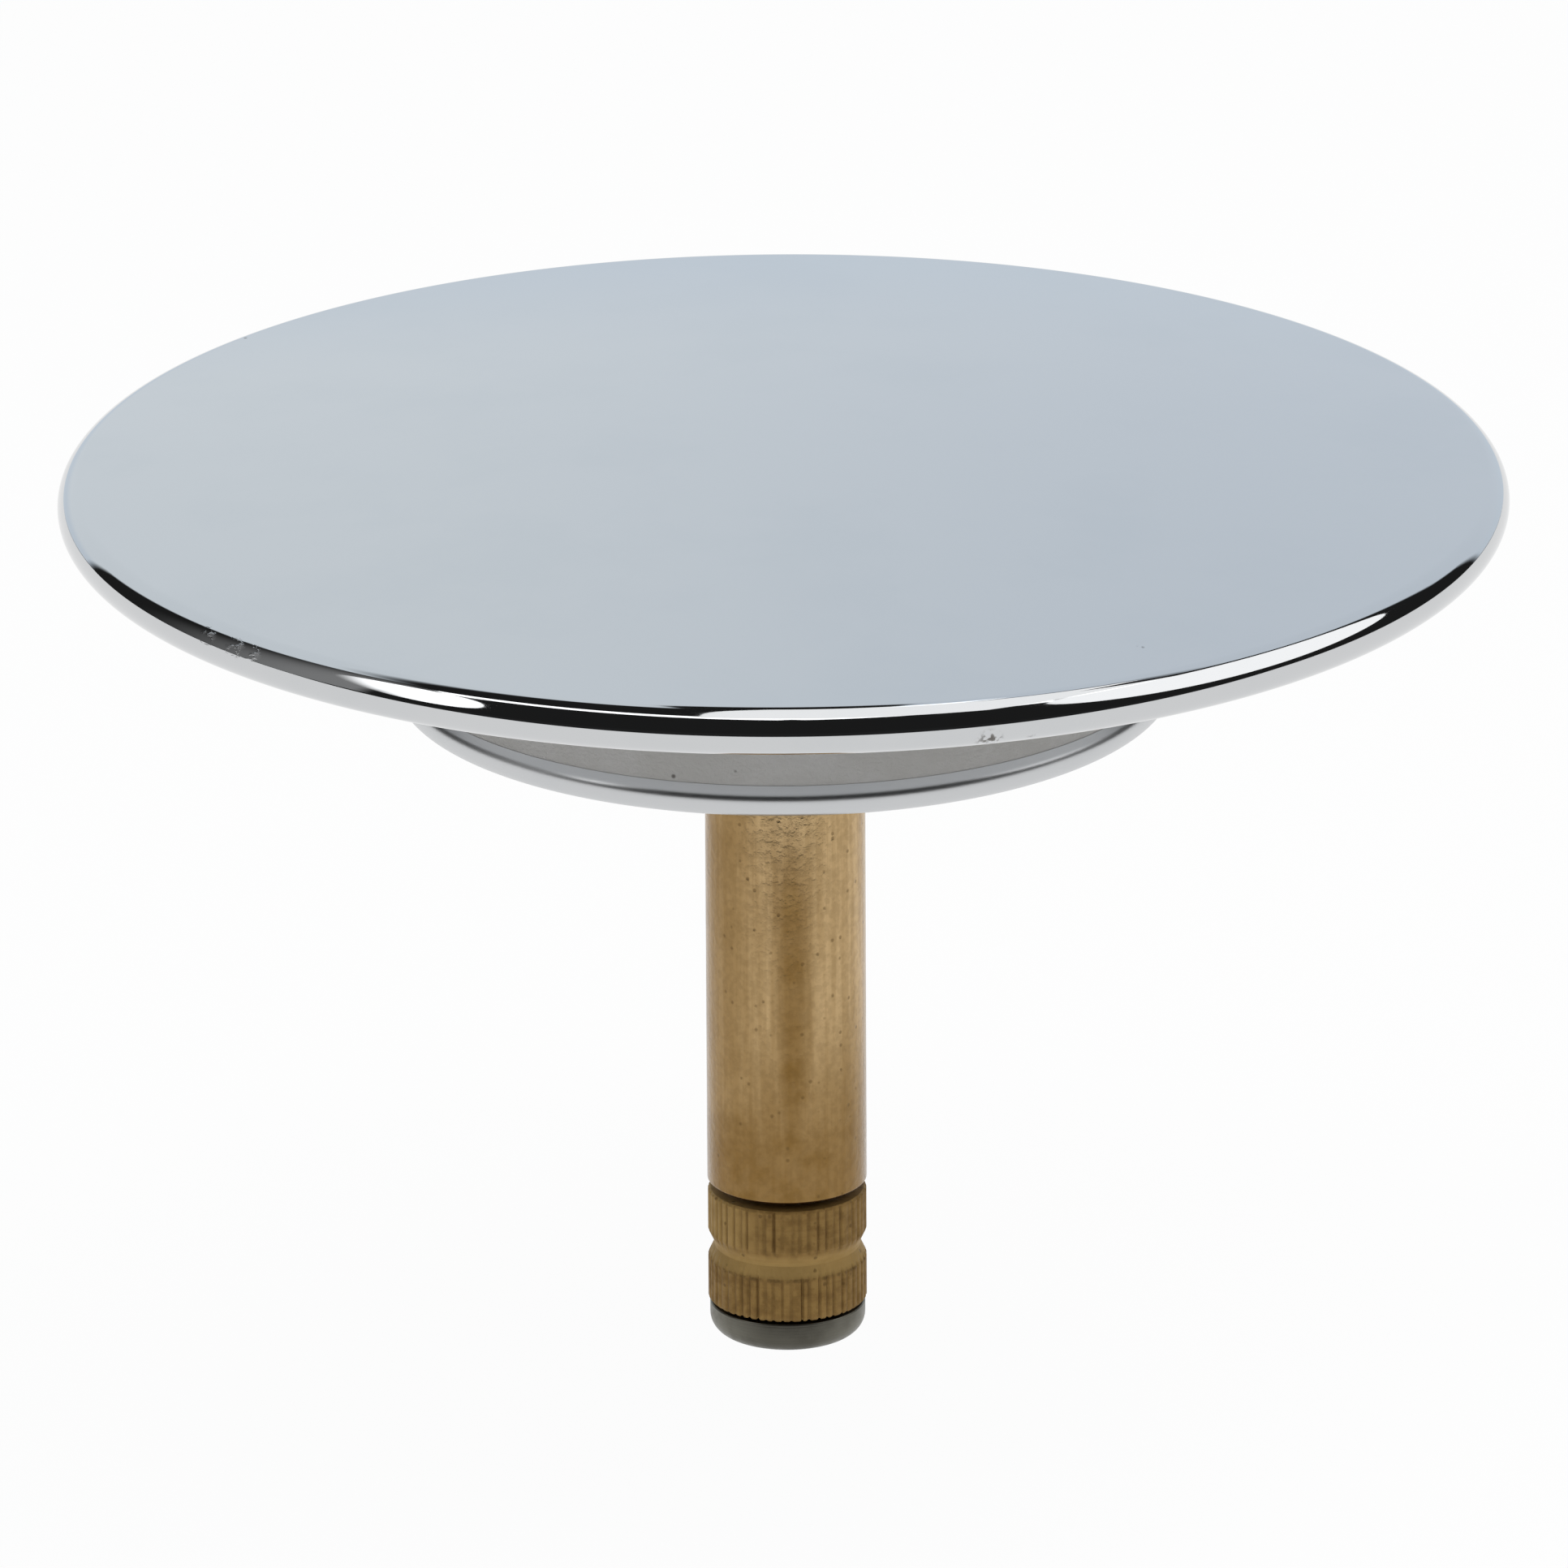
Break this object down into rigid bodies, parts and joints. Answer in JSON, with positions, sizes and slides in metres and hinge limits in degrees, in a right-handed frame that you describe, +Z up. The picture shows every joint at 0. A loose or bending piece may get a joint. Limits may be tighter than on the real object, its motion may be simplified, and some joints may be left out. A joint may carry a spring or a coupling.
{
  "type": "drain stopper",
  "caption": "Domed chrome bath drain stopper on a brass guide stem, with a rubber seal held under its cap by a collar and a knurled lock nut on the screw that sets its height.",
  "frame": {"origin": "on the stem's axis, at the lower face of the collar, where the stem's shoulder seats", "axes": "+Z up along the stem's axis towards the crown of the cap; X and Y are free because the part is round"},
  "size_m": [0.072, 0.072, 0.0473],
  "materials": {
    "chrome_plate": "polished chrome plating on brass",
    "seal_rubber": "moulded warm grey rubber",
    "stem_brass": "drawn brass with a speckled brown patina",
    "nut_brass": "knurled brass with a brown patina",
    "screw_steel": "bare turned steel"
  },
  "bodies": {
    "stopper": {"cap": "chrome_plate", "seal_ring": "seal_rubber", "collar": "chrome_plate", "stem": "stem_brass"},
    "lock_nut": {"lock_nut": "nut_brass"},
    "adjusting_screw": {"adjusting_screw": "screw_steel"}
  },
  "joints": [
    {"name": "nut_turn", "type": "hinge", "parent": "stopper", "child": "lock_nut", "pos_m": [0, 0, -0.02635], "axis": [0, 0, -1], "range_deg": [-45, 3960]},
    {"name": "screw_travel", "type": "slide", "parent": "lock_nut", "child": "adjusting_screw", "axis": [0, 0, -1], "range_m": [-0.00009, 0.0077]}
  ],
  "couplings": [
    {"joint": "nut_turn", "follows": "screw_travel", "rad_per_m": 8976}
  ]
}
